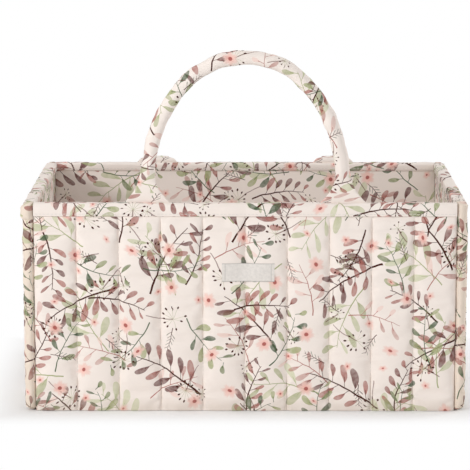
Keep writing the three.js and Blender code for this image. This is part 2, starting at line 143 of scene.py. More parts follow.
class CaddyColours(bpy.types.PropertyGroup):
    """Colours of the cloth, its print and the other materials, as seen"""

    cotton: colour("Cotton", 0.945, 0.903, 0.872, "Warm white ground of the print")
    mauve: colour("Mauve", 0.67, 0.42, 0.385, "Rosy leaves")
    plum: colour("Plum", 0.4, 0.2, 0.19, "Darker rosy leaves")
    bark: colour("Bark", 0.29, 0.14, 0.11, "Dark stems and seeds")
    sage: colour("Sage", 0.79, 0.8, 0.66, "Pale leaves")
    olive: colour("Olive", 0.65, 0.67, 0.49, "Mid green leaves")
    fern: colour("Fern", 0.32, 0.39, 0.29, "Dark green leaves")
    blossom: colour("Blossom", 0.95, 0.73, 0.68, "Petals")
    blossom_heart: colour("Blossom heart", 0.62, 0.27, 0.25, "Centres of the blossoms")
    blush: colour("Blush", 0.93, 0.8, 0.76, "Faint washes of petals")
    rubbed: colour("Rubbed", 0.72, 0.65, 0.57, "Cotton that has rubbed on the floor")
    # The bindings' ground is darker than the cotton: partly their own warmer tone, partly painted shade of
    # the corner strips
    binding: colour("Binding", 0.905, 0.845, 0.785, "Ground of the bindings")
    label: colour("Label", 0.9, 0.875, 0.85, "Woven label")
    thread: colour("Thread", 0.93, 0.9, 0.87, "Sewing thread")
    foam: colour("Foam", 0.95, 0.94, 0.9, "Foam boards")
    board: colour("Board", 0.8, 0.78, 0.73, "Stiff base board")
    rope: colour("Rope", 0.9, 0.87, 0.8, "Handle cores")
    tape: colour("Tape", 0.93, 0.91, 0.88, "Hook and loop tape")
    floor: colour("Floor", 0.96, 0.96, 0.96, "Floor")


def sizes():
    return bpy.context.scene.caddy_sizes


def paint(name, light=1.0):
    """The socket value of one of the caddy's colours, at a share of its light."""
    seen = getattr(bpy.context.scene.caddy_colours, name)
    return (*(Color(seen).from_srgb_to_scene_linear() * light), 1.0)


def sums(operation):
    """A wire's methods that add a Math node, with the wire as its first or its second value."""
    def first(wire, other):
        return wire.wiring.math(operation, wire, other)

    def second(wire, other):
        return wire.wiring.math(operation, other, wire)

    return first, second


class Wire:
    """What comes out of a node. A sum with a wire in it adds the sum's Math nodes."""

    def __init__(self, wiring, socket):
        self.wiring = wiring
        self.socket = socket

    __add__, __radd__ = sums("ADD")
    __sub__, __rsub__ = sums("SUBTRACT")
    __mul__, __rmul__ = sums("MULTIPLY")
    __truediv__, __rtruediv__ = sums("DIVIDE")
    __gt__, __lt__ = sums("GREATER_THAN")[0], sums("LESS_THAN")[0]

    def __abs__(self):
        return self.wiring.math("ABSOLUTE", self)


class Wiring:
    """Adds nodes to a tree, each with its inputs set or linked, and gives wires from their outputs."""

    def __init__(self, tree):
        self.tree = tree

    def node(self, kind, inputs=(), **settings):
        made = self.tree.nodes.new(kind)
        for key, value in settings.items():
            setattr(made, key, value)
        for key, value in inputs.items() if isinstance(inputs, dict) else enumerate(inputs):
            if isinstance(value, Wire):
                self.tree.links.new(value.socket, made.inputs[key])
            else:
                made.inputs[key].default_value = value
        return made

    def wire(self, kind, inputs=(), output=0, **settings):
        return Wire(self, self.node(kind, inputs, **settings).outputs[output])

    def wires(self, kind, inputs=(), **settings):
        made = self.node(kind, inputs, **settings)
        return {socket.name: Wire(self, socket) for socket in made.outputs}

    def math(self, operation, *values):
        return self.wire("ShaderNodeMath", values, operation=operation)

    def vector_math(self, operation, *values):
        return self.wire("ShaderNodeVectorMath", values, operation=operation)

    def root(self, value):
        return self.math("SQRT", value)

    def sine(self, value):
        return self.math("SINE", value)

    def part(self, value):
        """What a value has past its whole number."""
        return self.math("FRACT", value)

    def most(self, a, b):
        return self.math("MAXIMUM", a, b)

    def ramp(self, value, low, high, to_low=0.0, to_high=1.0):
        """A smooth step of value from low to high."""
        return self.wire(
            "ShaderNodeMapRange", (value, low, high, to_low, to_high), interpolation_type="SMOOTHSTEP")

    def split(self, vector):
        return list(self.wires("ShaderNodeSeparateXYZ", [vector]).values())

    def join(self, *numbers):
        return self.wire("ShaderNodeCombineXYZ", numbers)

    def turned(self, vector, angle):
        return self.wire(
            "ShaderNodeVectorRotate", {"Vector": vector, "Angle": angle}, rotation_type="Z_AXIS")

    def chance(self, *numbers):
        """Four random numbers that depend on three numbers alone."""
        made = self.wires("ShaderNodeTexWhiteNoise", [self.join(*numbers)], noise_dimensions="3D")
        return *self.split(made["Color"]), made["Value"]

    def noise(self, vector, scale, detail, distortion=0.0):
        return self.wire("ShaderNodeTexNoise", {
            "Vector": vector, "Scale": scale, "Detail": detail, "Distortion": distortion})

    def mix(self, share, a, b):
        factor, first, second, result = 0, 6, 7, 2  # a Mix node's sockets where it mixes colours
        return self.wire(
            "ShaderNodeMix", {factor: share, first: a, second: b}, output=result, data_type="RGBA")

    def bump(self, height, depth, strength, **below):
        return self.wire("ShaderNodeBump", {
            "Height": height, "Distance": depth, "Strength": strength, **below})


def cleared(owner):
    """The wiring of a material's or a world's tree, with no nodes in it yet."""
    owner.use_nodes = True
    owner.node_tree.nodes.clear()
    return Wiring(owner.node_tree)


def group_tree(name, inputs, outputs):
    """The wiring of a new node group with named sockets, and a wire from each of its inputs."""
    tree = bpy.data.node_groups.new(name, "ShaderNodeTree")
    for side, sockets in (("INPUT", inputs), ("OUTPUT", outputs)):
        for socket, kind in sockets.items():
            tree.interface.new_socket(socket, in_out=side, socket_type=f"NodeSocket{kind}")
    w = Wiring(tree)
    given = w.wires("NodeGroupInput")
    return w, [given[key] for key in inputs]


def group_scatter():
    """Gives each cell of a half-drop grid its own shifted, turned and sometimes mirrored coordinates."""
    w, (place, cell, seed, turn, spread, jitter) = group_tree(
        "Scatter",
        {"Place": "Vector", "Cell": "Float", "Seed": "Float", "Turn": "Float", "Spread": "Float",
         "Jitter": "Float"},
        {"Local": "Vector", "Chance": "Float", "Tone": "Float"})
    x, y, _ = w.split(w.turned(place, seed))
    row_place = y / cell + seed
    row = w.math("FLOOR", row_place)
    column_place = x / cell + row * 0.5
    column = w.math("FLOOR", column_place)
    red, green, blue, value = w.chance(column, row, seed)

    def centred(in_cell, random):
        return (w.part(in_cell) - 0.5 - (random - 0.5) * jitter) * cell

    mirror = w.math("SIGN", blue - 0.5)
    local = w.join(centred(column_place, red) * mirror, centred(row_place, green), 0.0)
    chance_stretch, tone_stretch = 7.13, 5.71  # each makes a further random number out of one
    w.node("NodeGroupOutput", {
        "Local": w.turned(local, turn + (value - 0.5) * spread),
        "Chance": w.part(blue * chance_stretch), "Tone": w.part(red * tone_stretch)})
    return w.tree


def group_sprig():
    """A bent stem with leaves on stalks, on either side in turn, that lean forwards and vary in size."""
    w, (local, length, spacing, leaf_length, leaf_width, stalk, lean, bend, stem, seed) = group_tree(
        "Sprig",
        {"Local": "Vector", "Length": "Float", "Spacing": "Float", "Leaf Length": "Float",
         "Leaf Width": "Float", "Stalk": "Float", "Lean": "Float", "Bend": "Float", "Stem": "Float",
         "Seed": "Float"},
        {"Leaf": "Float", "Stem": "Float", "Tone": "Float", "Along": "Float"})
    local_x, local_y, _ = w.split(local)
    x = local_x + length * 0.5
    along_stem = x / length
    y = local_y - x * (x - length) * bend
    away = abs(y)
    side = y > 0.0

    leaf_cell = (x - away * lean + side * spacing * 0.5) / spacing
    index = w.math("FLOOR", leaf_cell)
    across = abs((w.part(leaf_cell) - 0.5) * spacing)
    root = (index + 0.5) * spacing / length
    first_leaf, last_leaf = 0.12, 1.06  # shares of the stem
    on_stem = (root > first_leaf) * (root < last_leaf)

    red, tone, *_ = w.chance(index, side, seed)
    grown = (red * 0.45 + 0.75) * (1.1 - root * 0.45)  # leaves vary, and are smaller near the tip
    size = w.most(leaf_length * grown, 0.1 * MM)
    along_leaf = (away - stalk) / size
    fullest = 2.6  # brings the widest place of the leaf's outline to about 1
    swell = along_leaf * w.root(w.most(1.0 - along_leaf, 0.0)) * fullest
    leaf_edge = swell * grown * (leaf_width * 0.5) - across
    in_leaf = 0.35  # the share of a leaf that its stalk runs into
    stalk_line = w.ramp(across, 0.34 * MM, 0.14 * MM) * (away < stalk + size * in_leaf) * on_stem

    thick = stem * (1.1 - along_stem * 0.7)  # the stem tapers
    within = (along_stem > 0.0) * (along_stem < 1.0)
    stem_line = w.ramp(away - thick, 0.1 * MM, -0.1 * MM) * within
    w.node("NodeGroupOutput", {
        "Leaf": w.ramp(leaf_edge, 0.0, 0.3 * MM) * on_stem, "Stem": w.most(stem_line, stalk_line),
        "Tone": tone, "Along": along_leaf})
    return w.tree


def group_seed_head():
    """A round head of fine rays, each with a seed at its end, on a short stalk."""
    w, (local, head_radius, rays, seed_length, seed) = group_tree(
        "Seed Head",
        {"Local": "Vector", "Radius": "Float", "Rays": "Float", "Seed Length": "Float", "Seed": "Float"},
        {"Seeds": "Float", "Rays": "Float", "Stalk": "Float"})
    x, y, _ = w.split(local)
    radius = w.root(x * x + y * y)
    full_turn = 2 * math.pi
    turn = w.math("ARCTAN2", y, x) / full_turn * rays
    across = (w.part(turn) - 0.5) * (radius * full_turn / rays)
    red, green, *_ = w.chance(w.math("FLOOR", turn), seed, 3.0)
    reach = head_radius * (red * 0.42 + 0.58)
    along_seed = (radius - reach) / (seed_length * 0.5)
    slim = 0.3  # half a seed's width, as a share of its length
    across_seed = across / (seed_length * slim)
    seed_spot = w.ramp(along_seed * along_seed + across_seed * across_seed, 1.25, 0.8)
    missing = 0.12  # the share of the rays that are left out
    kept = green > missing
    ray = w.ramp(abs(across), 0.26 * MM, 0.1 * MM) * (radius < reach)
    stalk_share, stalk_bend = -2.3, 9.0
    along_stalk = (y < 0.0) * (y > head_radius * stalk_share)
    stalk = w.ramp(abs(x + y * y * stalk_bend), 0.5 * MM, 0.3 * MM) * along_stalk
    w.node("NodeGroupOutput", {"Seeds": seed_spot * kept, "Rays": ray * kept, "Stalk": stalk})
    return w.tree


def group_blossom():
    """A small open flower with rounded, fringed petals and a dark heart."""
    w, (local, size, petals, heart) = group_tree(
        "Blossom",
        {"Local": "Vector", "Radius": "Float", "Petals": "Float", "Heart": "Float"},
        {"Petal": "Float", "Heart": "Float", "Fade": "Float"})
    x, y, _ = w.split(local)
    radius = w.root(x * x + y * y)
    turn = w.math("ARCTAN2", y, x)
    lobes = abs(w.math("COSINE", turn * (petals * 0.5)))
    fringe = w.sine(turn * (petals * 3.0))
    rim = size * (lobes * 0.28 + fringe * 0.05 + 0.72)
    w.node("NodeGroupOutput", {
        "Petal": w.ramp(radius - rim, 0.9 * MM, -2.2 * MM),
        "Heart": w.ramp(radius - heart, 0.4 * MM, -0.5 * MM), "Fade": radius / size})
    return w.tree


# The print's layers, from the back. Each layer grows its motif in a share of the cells of a grid of its
# own. Lengths are in mm, the turn and its spread in radians and a stem's bend in 1/m.
Growth = namedtuple("Growth", "cell seed turn spread share")
Sprig = namedtuple("Sprig", "growth length spacing leaf width stalk lean bend stem colours strength")
SeedHead = namedtuple("SeedHead", "growth radius rays seed_length")
Blossom = namedtuple("Blossom", "growth radius petals heart")
SPRIGS = (
    Sprig(Growth(79, 2.37, 0.9, 2.6, 0.9), 58, 12.5, 15.8, 8.4, 2.2, 0.75, 5.0, 0.45,
          ("sage", "olive", "olive"), 0.85),
    Sprig(Growth(67, 41.3, 2.6, 3.0, 0.7), 46, 11, 12.5, 6.4, 3, 0.6, -6.0, 0.4,
          ("blush", "mauve", "mauve"), 0.75),
    Sprig(Growth(87, 5.81, -0.5, 2.2, 0.95), 66, 10.8, 13.8, 7.4, 3.6, 0.62, -3.5, 0.8,
          ("mauve", "plum", "bark"), 0.95),
    Sprig(Growth(73, 47.7, 0.7, 5.0, 0.7), 50, 8.8, 10.2, 6, 2.6, 0.7, 5.5, 0.65,
          ("mauve", "plum", "bark"), 0.95),
    Sprig(Growth(64, 9.43, 2.3, 3.4, 0.8), 48, 11.2, 11.8, 6.8, 2.4, 0.62, 6.5, 0.45,
          ("olive", "fern", "fern"), 1.0),
    Sprig(Growth(43, 17.57, 1.4, 6.2, 0.55), 20, 3.4, 3.2, 1.3, 0.8, 1.0, 6.0, 0.3,
          ("fern", "bark", "bark"), 0.95),
)
SEED_HEADS = (
    SeedHead(Growth(57, 21.31, 0.4, 5.0, 0.7), 10.5, 13, 2.4),
    SeedHead(Growth(43, 25.73, 2.0, 6.0, 0.45), 6.2, 9, 1.5),
)
BLOSSOMS = (
    Blossom(Growth(47, 31.17, 0.0, 6.28, 0.7), 7.6, 6, 1.9),
    Blossom(Growth(36, 37.91, 0.0, 6.28, 0.5), 4.6, 5, 1.0),
)


def group_print():
    """The caddy's botanical print: its colour at a place on the cloth."""
    w, (cloth, tone) = group_tree(
        "Botanical Print", {"Cloth": "Vector", "Ground": "Color"}, {"Color": "Color"})
    scatter, sprig = group_scatter(), group_sprig()
    seed_head, blossom = group_seed_head(), group_blossom()
    middle_grey, hand_wobble = (0.5, 0.5, 0.5), (2.2 * MM,) * 3
    sprig_seeds, head_seeds = 97.0, 53.0  # the range of seeds that a cell's tone is spread over
    wander = w.wire("ShaderNodeTexNoise", {"Vector": cloth, "Scale": 90.0, "Detail": 1.0}, output="Color")
    drift = w.vector_math("MULTIPLY", w.vector_math("SUBTRACT", wander, middle_grey), hand_wobble)
    place = w.vector_math("ADD", cloth, drift)
    brushed = w.noise(cloth, scale=260.0, detail=2.0)
    wet = w.ramp(brushed, 0.3, 0.7, to_low=0.78)  # the strength of a wet brush

    def use(group, **inputs):
        named = {key.replace("_", " ").title(): value for key, value in inputs.items()}
        return w.wires("ShaderNodeGroup", named, node_tree=group)

    def grown(growth, jitter):
        """A place in the cell's own coordinates, whether the cell grows its motif, and the cell's tone."""
        spot = use(scatter, place=place, cell=growth.cell * MM, seed=growth.seed, turn=growth.turn,
                   spread=growth.spread, jitter=jitter)
        return spot["Local"], spot["Chance"] < growth.share, spot["Tone"]

    for layer in SPRIGS:
        local, kept, cell_tone = grown(layer.growth, jitter=0.14)
        drawn = use(
            sprig, local=local, length=layer.length * MM, spacing=layer.spacing * MM,
            leaf_length=layer.leaf * MM, leaf_width=layer.width * MM, stalk=layer.stalk * MM,
            lean=layer.lean, bend=layer.bend, stem=layer.stem * MM, seed=cell_tone * sprig_seeds)
        pale, deep, stem_tint = (paint(name) for name in layer.colours)
        leaf_tint = w.mix(w.ramp(drawn["Tone"], 0.25, 0.85), pale, deep)
        to_tip = w.ramp(drawn["Along"], 0.1, 0.9, to_low=1.0, to_high=0.86)
        tone = w.mix(drawn["Leaf"] * kept * (wet * to_tip) * layer.strength, tone, leaf_tint)
        tone = w.mix(drawn["Stem"] * kept, tone, stem_tint)
    for layer in SEED_HEADS:
        local, kept, cell_tone = grown(layer.growth, jitter=0.12)
        drawn = use(seed_head, local=local, radius=layer.radius * MM, rays=layer.rays,
                    seed_length=layer.seed_length * MM, seed=cell_tone * head_seeds)
        for output, strength, tint in (
                ("Rays", 0.55, "olive"), ("Stalk", 0.7, "plum"), ("Seeds", 1.0, "bark")):
            tone = w.mix(drawn[output] * kept * strength, tone, paint(tint))
    for layer in BLOSSOMS:
        local, kept, cell_tone = grown(layer.growth, jitter=0.5)
        narrower = w.ramp(cell_tone, 0.35, 1.0, to_low=1.0, to_high=1.7)
        flatter = w.ramp(cell_tone, 0.0, 0.5, to_low=1.25)
        tipped = w.vector_math("MULTIPLY", local, w.join(narrower, flatter, 1.0))
        drawn = use(blossom, local=tipped, radius=layer.radius * MM, petals=layer.petals,
                    heart=layer.heart * MM)
        petal_tint = w.mix(w.ramp(drawn["Fade"], 0.15, 0.8), paint("blossom"), paint("blush"))
        tone = w.mix(drawn["Petal"] * kept * (wet * 0.92), tone, petal_tint)
        tone = w.mix(drawn["Heart"] * kept * 0.85, tone, paint("blossom_heart"))
    w.node("NodeGroupOutput", {"Color": tone})
    return w.tree


def group_weave():
    """Heights of plain-woven cotton: crossing threads and a few slubs."""
    w, (cloth, pitch) = group_tree(
        "Cotton Weave", {"Cloth": "Vector", "Pitch": "Float"}, {"Height": "Float"})
    x, y, _ = w.split(cloth)
    turns = 2 * math.pi / pitch
    threads = w.sine(x * turns) * w.sine(y * turns)
    slubs = w.noise(cloth, scale=700.0, detail=2.0)
    w.node("NodeGroupOutput", {"Height": threads * 0.5 + slubs})
    return w.tree


def cotton_material(name, printed, woven, ground):
    """Matte printed cotton with a weave and fine creases, rubbed a little where it meets the floor."""
    material = bpy.data.materials.new(name)
    w = cleared(material)
    cloth = w.wire("ShaderNodeUVMap", uv_map=CLOTH)
    drawn = w.wire("ShaderNodeGroup", {"Cloth": cloth, "Ground": paint(ground)}, node_tree=printed)
    weave = w.wire("ShaderNodeGroup", {"Cloth": cloth, "Pitch": 0.55 * MM}, node_tree=woven)
    _, _, height = w.split(w.wires("ShaderNodeTexCoord")["Object"])
    near_floor = w.ramp(height, 14 * MM, 0.0, to_high=0.3)
    patches = w.ramp(w.noise(cloth, scale=45.0, detail=4.0), 0.3, 0.65, to_low=0.25)
    creases = w.noise(cloth, scale=70.0, detail=4.0, distortion=0.6)
    soft = w.bump(creases, depth=0.9 * MM, strength=0.55)
    warm_sheen = (0.9, 0.8, 0.72, 1.0)
    shader = w.wire("ShaderNodeBsdfPrincipled", {
        "Base Color": w.mix(near_floor * patches, drawn, paint("rubbed")),
        "Roughness": w.ramp(creases, 0.2, 0.8, to_low=0.82, to_high=0.94),
        "Normal": w.bump(weave, depth=0.08 * MM, strength=0.5, Normal=soft),
        "Specular IOR Level": 0.08, "Sheen Weight": 0.03, "Sheen Tint": warm_sheen,
        "Sheen Roughness": 0.5})
    w.node("ShaderNodeOutputMaterial", [shader])


# The plain materials: the scale of their grain and its depth in mm
Grain = namedtuple("Grain", "material tint scale depth roughness")
GRAINS = (
    Grain("Sewing Thread", "thread", 2200, 0.05, 0.6),
    Grain("Foam", "foam", 900, 0.3, 0.95),
    Grain("Base Board", "board", 300, 0.1, 0.75),
    Grain("Cotton Rope", "rope", 700, 0.4, 0.95),
    Grain("Napped Tape", "tape", 1800, 0.5, 0.98),
)


def grain_material(name, tint, scale, depth, roughness):
    """A plain material with a fine grain of its own."""
    material = bpy.data.materials.new(name)
    w = cleared(material)
    grain = w.noise(w.wires("ShaderNodeTexCoord")["Object"], scale, detail=3.0)
    shader = w.wire("ShaderNodeBsdfPrincipled", {
        "Base Color": w.mix(w.ramp(grain, 0.35, 0.75), paint(tint, 0.8), paint(tint)),
        "Roughness": roughness, "Normal": w.bump(grain, depth * MM, strength=0.7),
        "Specular IOR Level": 0.3})
    w.node("ShaderNodeOutputMaterial", [shader])


def ribbon_material(name, tint):
    """Satin woven ribbon: fine ribs, a soft gloss, and painted shade along its edges and at the fold lines
    of its ends, which are turned under.
    """
    material = bpy.data.materials.new(name)
    w = cleared(material)
    cloth = w.wire("ShaderNodeUVMap", uv_map=CLOTH)
    x, y, _ = w.split(cloth)
    rib_pitch, thread_pitch = 0.45 * MM, 1.1 * MM
    ribs = w.sine(y * (2 * math.pi / rib_pitch))
    threads = w.sine(x * (2 * math.pi / thread_pitch))
    mottle = w.noise(cloth, scale=400.0, detail=2.0)
    low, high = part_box("woven_label")
    half_width, half_height = (high.x - low.x) / 2, (high.z - low.z) / 2
    to_edge = half_height - abs(y - half_height)
    to_end = half_width - abs(x)
    # Painted shade: the label is darkened to half its light in thin bands along its long edges and at the
    # fold lines of its turned-under ends
    painted_edge_shade = w.ramp(to_edge, 0.9 * MM, 0.2 * MM) * 0.75
    painted_fold_shade = w.ramp(abs(to_end - 2.6 * MM), 0.5 * MM, 0.1 * MM) * 0.5
    plain = w.mix(w.ramp(mottle, 0.3, 0.7), paint(tint, 0.9), paint(tint))
    shader = w.wire("ShaderNodeBsdfPrincipled", {
        "Base Color": w.mix(w.most(painted_edge_shade, painted_fold_shade), plain, paint(tint, 0.5)),
        "Roughness": w.ramp(mottle, 0.2, 0.8, to_low=0.34, to_high=0.46),
        "Normal": w.bump(ribs * 0.5 + threads * 0.2, depth=0.07 * MM, strength=0.6),
        "Sheen Weight": 0.2})
    w.node("ShaderNodeOutputMaterial", [shader])


def materials():
    """The caddy's materials by name, made on first use."""
    if "Quilted Cotton" not in bpy.data.materials:
        printed, woven = group_print(), group_weave()
        cotton_material("Quilted Cotton", printed, woven, "cotton")
        # The binding cotton's darker ground is partly painted shade of the corner strips, partly their own
        # tone
        cotton_material("Binding Cotton", printed, woven, "binding")
        for grain in GRAINS:
            grain_material(*grain)
        ribbon_material("Woven Ribbon", "label")
    return bpy.data.materials


def deselect():
    bpy.ops.object.select_all(action="DESELECT")


def take(obj):
    """Makes obj the one selected, active object."""
    deselect()
    obj.select_set(True)
    bpy.context.view_layer.objects.active = obj


def newly_named(name):
    """Names the object that an operator has just added."""
    obj = bpy.context.object
    obj.name = obj.data.name = name
    return obj


def points_of(obj):
    found = np.empty(len(obj.data.vertices) * 3)
    obj.data.vertices.foreach_get("co", found)
    return found.reshape(-1, 3)


def place_points(obj, points):
    obj.data.vertices.foreach_set("co", np.asarray(points, float).ravel())
    obj.data.update()


def turn_piece(obj, degrees, corner=(0, 0, 0)):
    """Turns a piece that was made in the front wall's own space to another wall, or to a corner."""
    turn = np.array(Matrix.Rotation(math.radians(degrees), 3, "Z"))
    place_points(obj, points_of(obj) @ turn.T + corner)


def edit(obj, step):
    """Runs an edit-mode step with all of obj selected."""
    take(obj)
    bpy.ops.object.mode_set(mode="EDIT")
    bpy.ops.mesh.select_mode(type="VERT")
    bpy.ops.mesh.select_all(action="SELECT")
    step()
    bpy.ops.object.mode_set(mode="OBJECT")


def face_outwards():
    bpy.ops.mesh.select_all(action="SELECT")
    bpy.ops.mesh.normals_make_consistent(inside=False)


def lay_cloth(obj, spread):
    """Sets the cloth's UV map from each vertex's place on the cloth, in metres."""
    layer = obj.data.uv_layers[0]
    layer.name = CLOTH
    corners = np.empty(len(obj.data.loops), int)
    obj.data.loops.foreach_get("vertex_index", corners)
    layer.data.foreach_set("uv", spread[corners].ravel())


def cloth_grid(name, across, along, shape, roll, closed=False):
    """A grid of cloth, whose points shape gives from shares across and along. Its print starts at roll and
    keeps its lengths over the surface. Where it is closed, its two sides are sewn together and its ends
    are filled."""
    deselect()
    bpy.ops.mesh.primitive_grid_add(x_subdivisions=across, y_subdivisions=along, size=2)
    obj = newly_named(name)
    u, v = ((points_of(obj)[:, :2] + 1) / 2).T
    column, row = np.rint(u * across).astype(int), np.rint(v * along).astype(int)
    placed = shape(u, v)
    grid = np.empty((along + 1, across + 1, 3))
    grid[row, column] = placed
    middle = across // 2
    wide = np.cumsum(np.pad(np.linalg.norm(np.diff(grid, axis=1), axis=2), ((0, 0), (1, 0))), axis=1)
    wide -= wide[:, middle:middle + 1]
    tall = np.cumsum(np.pad(np.linalg.norm(np.diff(grid[:, middle], axis=0), axis=1), (1, 0)))
    lay_cloth(obj, np.stack((wide[row, column] + roll[0], tall[row] + roll[1]), 1))
    place_points(obj, placed)

    def sew():
        if closed:
            bpy.ops.mesh.remove_doubles(threshold=1e-6)
            bpy.ops.mesh.select_all(action="DESELECT")
            bpy.ops.mesh.select_non_manifold()
            bpy.ops.mesh.fill_holes(sides=0)
        face_outwards()

    edit(obj, sew)
    return obj


def apply_modifier(obj, kind, name, **settings):
    take(obj)
    modifier = obj.modifiers.new(name, kind)
    for key, value in settings.items():
        setattr(modifier, key, value)
    bpy.ops.object.modifier_apply(modifier=modifier.name)


def finish_piece(obj, body, material, replaced=(), smooth=35):
    """Shades a piece smooth up to an angle, gives it its material and hangs it on its body."""
    take(obj)
    bpy.ops.object.transform_apply(location=True, rotation=True, scale=True)
    bpy.ops.object.shade_smooth_by_angle(angle=math.radians(smooth))
    obj.data.materials.clear()
    obj.data.materials.append(materials()[material])
    if body:
        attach(obj, body)
    if replaced:
        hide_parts(*replaced)


def ripple(points, scale, depth, seed):
    """Small smooth irregularities of sewn cloth at each point."""
    shift = Vector((seed, seed * 0.7, seed * 1.3))
    return np.array([noise.noise(Vector(p) * scale + shift) for p in points]) * depth


def between(low, high, share):
    return low + (high - low) * share


def dome(across):
    """Height of a half circle over places across it from -1 to 1."""
    return np.sqrt(np.clip(1 - across * across, 0, 1))


def quarter_round(share):
    """Height of a rounded edge, from 0 at its foot to 1."""
    return np.sqrt(1 - (1 - share) ** 2)


def bell(distance, width):
    """1 at no distance, and softly less over a width."""
    return np.exp(-((distance / width) ** 2))


def squared(wave, power):
    """A sine or cosine drawn towards a square wave, the more the smaller the power."""
    return np.sign(wave) * np.abs(wave) ** power


def eased(share):
    """A smooth step over shares from 0 to 1."""
    share = np.clip(share, 0, 1)
    return share * share * (3 - 2 * share)


def depth_on(obj, turn, x, z):
    """Depth of a piece's outer surface at a place along a wall, seen from outside that wall."""
    way = Matrix.Rotation(math.radians(turn), 3, "Z")
    found, place, _, _ = obj.ray_cast(way @ Vector((x, -1, z)), way @ Vector((0, 1, 0)))
    if not found:
        raise RuntimeError(f"{obj.name} has no surface at {x:.4f}, {z:.4f}")
    return -(way.inverted() @ place).y


class CADDY_OT_camera(bpy.types.Operator):
    """Set up the camera that sees the caddy from the front, a little above"""

    bl_idname = "caddy.camera"
    bl_label = "Camera"

    def execute(self, context):
        place, pitch, yaw = (0.0004, -2.0537, 0.4967), math.radians(10.096), 0.0046
        focal_pixels, picture_pixels, sensor_mm = 2320.0, 470.0, 36.0
        bpy.ops.object.camera_add(location=place, rotation=(math.pi / 2 - pitch, 0, yaw))
        camera = context.object
        camera.name = "Camera"
        camera.data.sensor_width = sensor_mm
        camera.data.lens = focal_pixels * sensor_mm / picture_pixels
        camera.data.clip_end = 20
        context.scene.camera = camera
        return {"FINISHED"}


def puff_share(z):
    """Share of its full rise that a channel has at each height, less at its foot and under the hem."""
    at_floor = 0.2
    foot = between(at_floor, 1, np.clip(z / (12 * MM), 0, 1))
    head = np.clip((HEM_EDGE - z) / (10 * MM), 0, 1)
    return np.sqrt(foot * head)


def relax_cloth(obj, pinned):
    """Lets the batting press the cloth out between its pinned seams, by no more than it gives."""
    s = sizes()
    start = points_of(obj)
    seams = obj.vertex_groups.new(name="seams")
    seams.add([int(i) for i in np.flatnonzero(pinned)], 1.0, "ADD")
    take(obj)
    modifier = obj.modifiers.new("Cloth", "CLOTH")
    modifier.collision_settings.use_collision = False
    cloth = modifier.settings
    cloth.quality = 5
    cloth.mass = 0.2
    cloth.tension_stiffness = cloth.compression_stiffness = 12
    cloth.shear_stiffness = 4
    cloth.bending_stiffness = 0.6
    cloth.vertex_group_mass = seams.name
    cloth.use_pressure = True
    cloth.uniform_pressure_force = s.puff_pressure
    cloth.shrink_min = -s.cloth_spare
    cloth.effector_weights.gravity = 0
    last_step = 18
    for step in range(1, last_step + 1):
        bpy.context.scene.frame_set(step)
    bpy.ops.object.modifier_apply(modifier=modifier.name)
    bpy.context.scene.frame_set(1)
    obj.vertex_groups.clear()
    moved = points_of(obj) - start
    far = np.maximum(np.linalg.norm(moved, axis=1, keepdims=True), 1e-9)
    place_points(obj, start + moved * s.puff_give * np.tanh(far / s.puff_give) / far)


class CADDY_OT_quilted_panels(bpy.types.Operator):
    """Sew the four outer panels, whose upright channels puff out between their seams"""

    bl_idname = "caddy.quilted_panels"
    bl_label = "Quilted Panels"

    def execute(self, context):
        for side, wall in WALLS.items():
            panel = self.puffed_panel(side, wall)
            turn_piece(panel, wall.turn)
            finish_piece(
                panel, "caddy_body", "Quilted Cotton", [f"{side}_outer_panel"], 60)
        return {"FINISHED"}

    def puffed_panel(self, side, wall):
        s, layers = sizes(), LAYERS[side]
        seam = layers.panel + s.seam_thickness
        columns_each, rows = 14, 96
        towards_seams = 0.6  # how much closer the columns stand there
        before_puffing = 0.86  # share of the rise that the channels start with

        def shape(u, v):
            channel = np.floor(u * wall.channels + 1e-6)
            share = u * wall.channels - channel
            share -= towards_seams * np.sin(2 * math.pi * share) / (2 * math.pi)
            x = (2 * (channel + share) / wall.channels - 1) * layers.half_length
            z = v * PANEL_TOP
            rise = s.puff_rise * before_puffing * dome(2 * share - 1) * puff_share(z)
            return np.stack((x, -(seam + rise), z), 1)

        panel = cloth_grid(f"{side}_quilted_panel", wall.channels * columns_each, rows, shape, wall.roll)
        x, _, z = points_of(panel).T
        pitch = 2 * layers.half_length / wall.channels
        to_seam = np.abs(np.mod(x + layers.half_length + pitch / 2, pitch) - pitch / 2)
        near = 0.1 * MM
        relax_cloth(panel, (to_seam < near) | (z < near) | (z > HEM_EDGE + near))
        moved = points_of(panel)
        moved[:, Y] = np.clip(moved[:, Y], -layers.crown - 1 * MM, -seam)
        groove_depth, groove_width = 0.7 * MM, 1.6 * MM
        groove = groove_depth * bell(to_seam, groove_width) * (z < HEM_EDGE)
        pull_depth, pull_pitch = 0.28 * MM, 6.6 * MM  # of the little pulls beside each seam
        pulls = pull_depth * np.sin(z * 2 * math.pi / pull_pitch) * bell(to_seam - 4 * MM, 3 * MM)
        moved[:, Y] += groove + pulls
        place_points(panel, moved)

        def close_back():
            bpy.ops.mesh.select_all(action="DESELECT")
            bpy.ops.mesh.select_non_manifold()
            bpy.ops.mesh.extrude_region_move()
            bpy.ops.transform.resize(value=(1, 0, 1), center_override=(0, -layers.panel, 0))
            bpy.ops.mesh.edge_face_add()
            face_outwards()

        edit(panel, close_back)
        return panel


